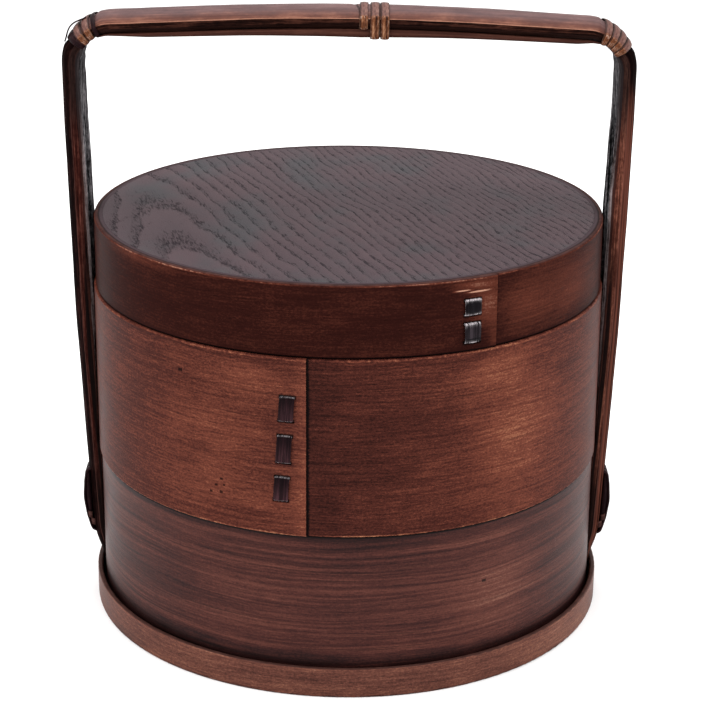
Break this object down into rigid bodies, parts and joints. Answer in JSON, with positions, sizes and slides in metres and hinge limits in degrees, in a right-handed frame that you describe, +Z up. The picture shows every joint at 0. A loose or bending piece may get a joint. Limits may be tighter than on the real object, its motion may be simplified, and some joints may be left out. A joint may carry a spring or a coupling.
{
  "type": "two-tier bentwood food carrier",
  "caption": "Round stacked bentwood food boxes with a flat board lid, hung in a fixed arched handle of split bamboo lashed with rattan.",
  "frame": {"origin": "centre of the circle that the base hoop stands on, at floor level", "axes": "+Z up along the drum's axis; the handle's legs stand at -X and +X; the front, with the sewn seams of the upper tier and lid, faces -Y"},
  "size_m": [0.2666, 0.248, 0.2915],
  "materials": {
    "lid_board": "open-pored ring-porous board, dark stain under thin lacquer, satin",
    "lid_bentwood": "bent board, dark red-brown wiped lacquer, satin to gloss",
    "upper_bentwood": "bent board, red-brown wiped lacquer, satin to gloss",
    "lower_bentwood": "bent board with plain growth streaks, red-brown wiped lacquer, satin",
    "base_bentwood": "bent board, lighter worn lacquer, satin",
    "inner_wood": "inside boards and inner hoops, wiped lacquer, matt",
    "bark": "polished cherry bark, dark purple-brown, glossy",
    "bamboo": "split bamboo, skin outwards, brown lacquer, glossy skin and dark fibrous cut faces",
    "rattan": "flat split rattan cane, tan under brown lacquer, glossy"
  },
  "bodies": {
    "base": {"base_hoop": "base_bentwood", "base_hoop_stitches": "bark", "lower_tier_wall": "lower_bentwood", "lower_tier_bottom": "inner_wood", "lower_tier_support_hoop": "inner_wood", "lower_tier_stitches": "bark", "handle_bow": "bamboo", "handle_grip_strip": "bamboo", "centre_lashing": "rattan", "left_corner_lashing": "rattan", "right_corner_lashing": "rattan", "left_leg_lashing": "rattan", "right_leg_lashing": "rattan"},
    "upper_tier": {"upper_tier_wall": "upper_bentwood", "upper_tier_bottom": "inner_wood", "upper_tier_spigot_hoop": "inner_wood", "upper_tier_stitches": "bark"},
    "lid": {"lid_top": "lid_board", "lid_band": "lid_bentwood", "lid_spigot_hoop": "inner_wood", "lid_stitches": "bark"}
  },
  "joints": [
    {"name": "upper_tier_lift", "type": "slide", "parent": "base", "child": "upper_tier", "axis": [0, 0, 1], "range_m": [0, 0.025]},
    {"name": "lid_lift", "type": "slide", "parent": "upper_tier", "child": "lid", "axis": [0, 0, 1], "range_m": [0, 0.05]}
  ]
}
